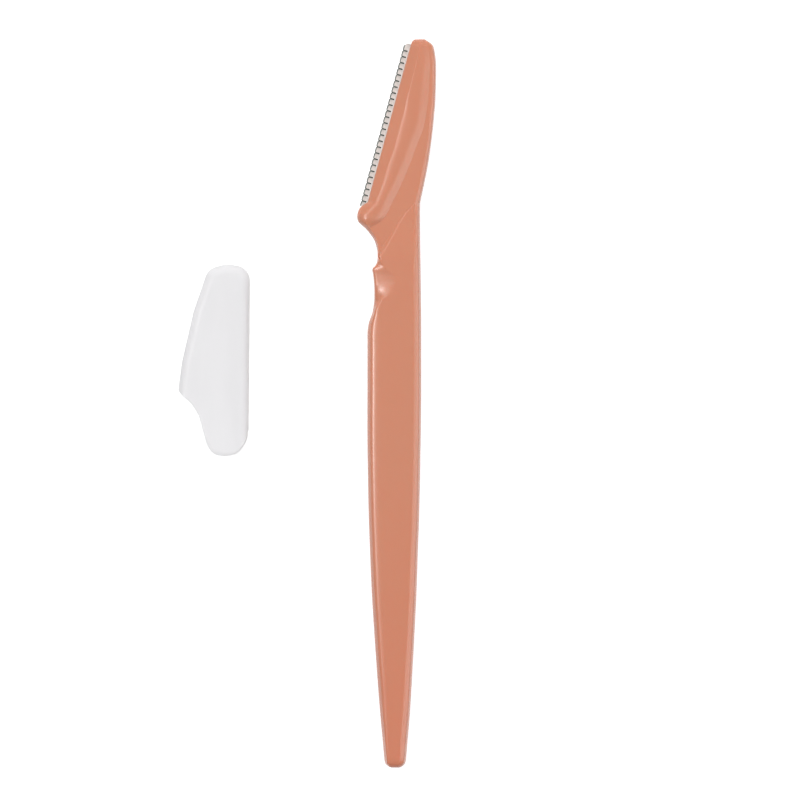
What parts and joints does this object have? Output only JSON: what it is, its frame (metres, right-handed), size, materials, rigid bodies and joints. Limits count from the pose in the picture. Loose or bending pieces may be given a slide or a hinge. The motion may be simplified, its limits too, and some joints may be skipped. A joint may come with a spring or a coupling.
{
  "type": "eyebrow razor",
  "caption": "Slim moulded handle with a finger rest and an angled blade under a slotted guard, and a hollow slip-on cap lying beside it.",
  "frame": {"origin": "middle of the grip's flat back face, half way along the razor, on the surface it lies on", "axes": "+Y along the handle from the tail to the tip, +Z away from the surface it lies on, +X toward the handle's spine side"},
  "size_m": [0.0545, 0.154, 0.0062],
  "materials": {
    "handle_plastic": "semi-gloss moulded plastic, salmon pink",
    "blade_steel": "ground stainless steel",
    "guard_steel": "satin stainless sheet",
    "cap_plastic": "frosted translucent white plastic"
  },
  "bodies": {
    "razor": {"handle": "handle_plastic", "blade": "blade_steel", "guard": "guard_steel"},
    "cap": {"cap": "cap_plastic"}
  },
  "joints": [
    {"name": "cap_slide", "type": "slide", "parent": "razor", "child": "cap", "axis": [0, 1, 0], "range_m": [0, 0.0405]}
  ]
}
